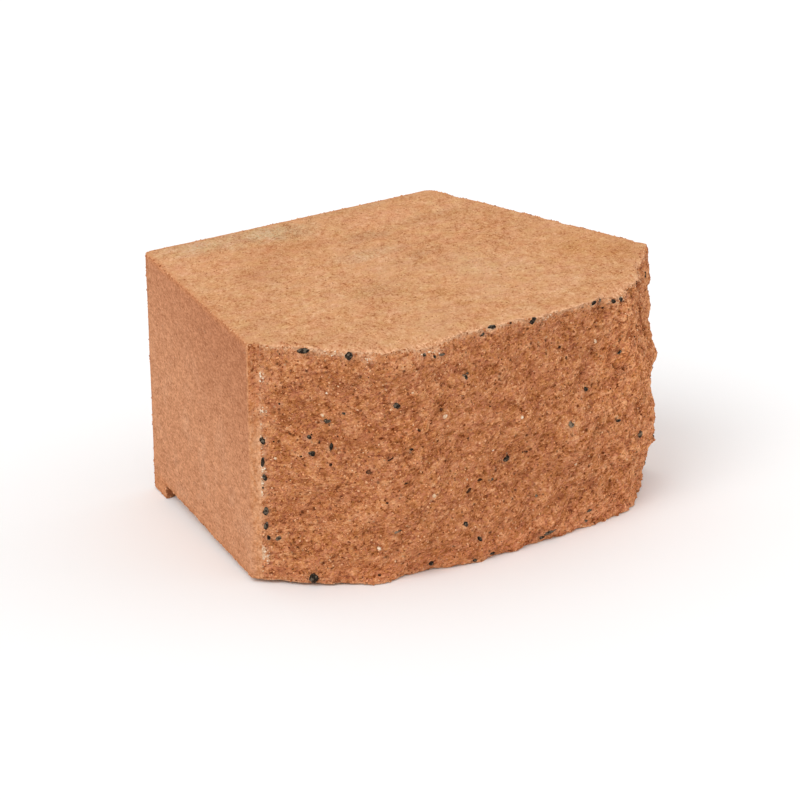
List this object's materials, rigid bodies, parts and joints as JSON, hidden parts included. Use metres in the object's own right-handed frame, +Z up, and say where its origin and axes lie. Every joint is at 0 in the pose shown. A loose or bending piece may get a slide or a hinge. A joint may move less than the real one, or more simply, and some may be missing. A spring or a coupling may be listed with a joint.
{
  "type": "retaining wall block",
  "caption": "Solid concrete retaining wall block with a split face in three facets, tapered sides and a locating lip under the back edge.",
  "frame": {"origin": "on the floor, under the centre of the block's bounding box", "axes": "+X across the face, towards the right of someone who looks at the split face; -Y the way the split face looks; +Z up. The block leans forward 2.59 degrees about X, because it rests on its rear lip and on the foot of its face; the mounts give the level directions of the block itself"},
  "size_m": [0.308, 0.2567, 0.163],
  "materials": {
    "concrete": "matte"
  },
  "bodies": {
    "root": {"block": "concrete"}
  },
  "joints": []
}
